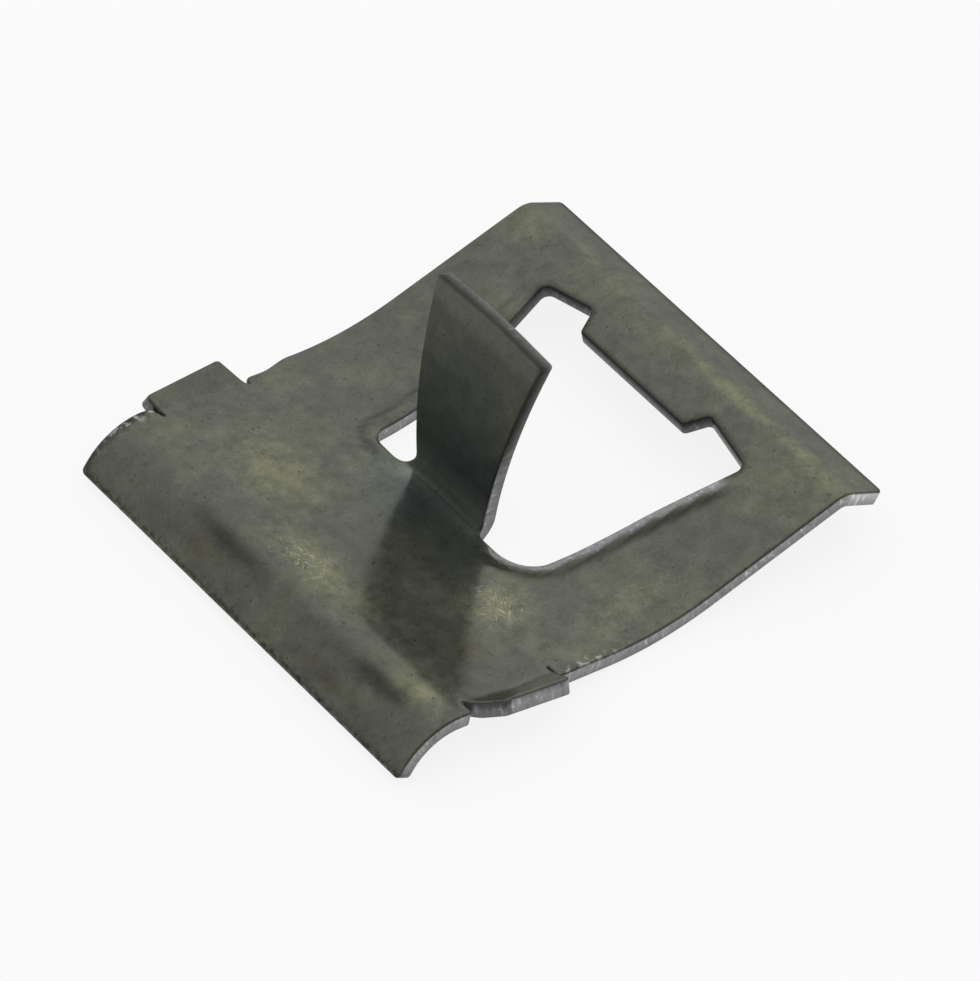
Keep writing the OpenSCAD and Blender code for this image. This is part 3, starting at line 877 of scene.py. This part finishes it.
def add_floor(context, stage):
    """A wide flat floor, white to the camera and in reflections, that still takes a soft shadow."""
    mesh = bpy.data.meshes.new("floor")
    corners = np.array([(-1, -1, 0), (1, -1, 0), (1, 1, 0), (-1, 1, 0)]) * FLOOR_HALF
    mesh.from_pydata(corners.tolist(), [], [(0, 1, 2, 3)])
    material = bpy.data.materials.new("white_paper_floor")
    material.use_nodes = True
    tree = material.node_tree
    tree.nodes.clear()
    path = add_node(tree, "ShaderNodeLightPath")
    seen = add_node(tree, "ShaderNodeMath", {
        0: path.outputs["Is Camera Ray"], 1: path.outputs["Is Glossy Ray"]}, operation="MAXIMUM")
    seen = add_node(tree, "ShaderNodeMath", {
        0: seen.outputs[0], 1: path.outputs["Is Transmission Ray"]}, operation="MAXIMUM")
    share = add_node(tree, "ShaderNodeMath", {0: seen.outputs[0], 1: FLOOR_WHITE}, operation="MULTIPLY")
    paper = add_node(tree, "ShaderNodeBsdfDiffuse", {"Color": stage.backdrop})
    glow = add_node(tree, "ShaderNodeEmission", {"Color": stage.backdrop, "Strength": 1.0})
    both = add_node(tree, "ShaderNodeMixShader", {
        0: share.outputs[0], 1: paper.outputs[0], 2: glow.outputs[0]})
    add_node(tree, "ShaderNodeOutputMaterial", {"Surface": both.outputs[0]})
    mesh.materials.append(material)
    floor = bpy.data.objects.new("floor", mesh)
    context.scene.collection.objects.link(floor)


def add_light(context, stage):
    """A white studio whose soft light comes mostly from the far right: a surround that brightens that way."""
    world = bpy.data.worlds.new("white_studio")
    world.use_nodes = True
    tree = world.node_tree
    tree.nodes.clear()
    direction = add_node(tree, "ShaderNodeTexCoord").outputs["Generated"]
    lit = add_node(tree, "ShaderNodeVectorMath", {0: direction, 1: BRIGHT_SIDE}, operation="DOT_PRODUCT")
    level = add_node(tree, "ShaderNodeMapRange", {
        "Value": lit.outputs["Value"], "From Min": BRIGHT_FROM, "From Max": BRIGHT_TO,
        "To Min": stage.dim, "To Max": stage.bright}, interpolation_type="SMOOTHSTEP")
    surround = add_node(tree, "ShaderNodeBackground", {
        "Color": stage.backdrop, "Strength": level.outputs["Result"]})
    add_node(tree, "ShaderNodeOutputWorld", {"Surface": surround.outputs[0]})
    context.scene.world = world


def add_camera(context, stage):
    """The camera of the photograph: it looks down at the clip from its heel and near side."""
    a, e, roll = stage.azimuth, stage.elevation, stage.roll
    back = Vector((math.sin(a) * math.cos(e), -math.cos(a) * math.cos(e), math.sin(e)))
    level = Vector((math.cos(a), math.sin(a), 0))
    upright = back.cross(level)
    right = level * math.cos(roll) + upright * math.sin(roll)
    up = upright * math.cos(roll) - level * math.sin(roll)
    distance = stage.focal_px / stage.px_per_mm * MM
    place = Vector((0, 0, stage.aim_z)) - right * stage.off_right - up * stage.off_up + back * distance
    lens = bpy.data.cameras.new("camera")
    lens.sensor_fit = "HORIZONTAL"
    lens.sensor_width = SENSOR_W
    lens.lens = stage.focal_px * lens.sensor_width / IMAGE_W
    camera = bpy.data.objects.new("camera", lens)
    camera.matrix_world = Matrix((right, up, back)).transposed().to_4x4()
    camera.location = place
    lens.clip_start = distance / 10
    context.scene.collection.objects.link(camera)
    context.scene.camera = camera


class MOLDING_PT_panel(bpy.types.Panel):
    """Sizes, finish and stage of the clip"""

    bl_idname = "MOLDING_PT_panel"
    bl_label = "Molding Clip"
    bl_space_type = "VIEW_3D"
    bl_region_type = "UI"
    bl_category = "Clip"

    def draw(self, context):
        for operator, groups in (
                (MOLDING_OT_clip, ("clip_sizes", "clip_finish")), (MOLDING_OT_stage, ("clip_stage",))):
            self.layout.operator(operator.bl_idname)
            for group in groups:
                settings = getattr(context.scene, group)
                column = self.layout.column(align=True)
                for name in settings.__annotations__:
                    column.prop(settings, name)


GROUPS = {"clip_sizes": ClipSizes, "clip_finish": ClipFinish, "clip_stage": ClipStage}
CLASSES = (*GROUPS.values(), MOLDING_OT_clip, MOLDING_OT_stage, MOLDING_PT_panel)


def register():
    """Registers the classes and gives the scene its groups of settings."""
    for cls in CLASSES:
        bpy.utils.register_class(cls)
    for name, group in GROUPS.items():
        setattr(bpy.types.Scene, name, bpy.props.PointerProperty(type=group))


def unregister():
    """Takes away what register adds."""
    for name in GROUPS:
        delattr(bpy.types.Scene, name)
    for cls in reversed(CLASSES):
        bpy.utils.unregister_class(cls)


def main():
    register()
    bpy.ops.molding.clip()
    bpy.ops.molding.stage()


if __name__ == "__main__":
    main()
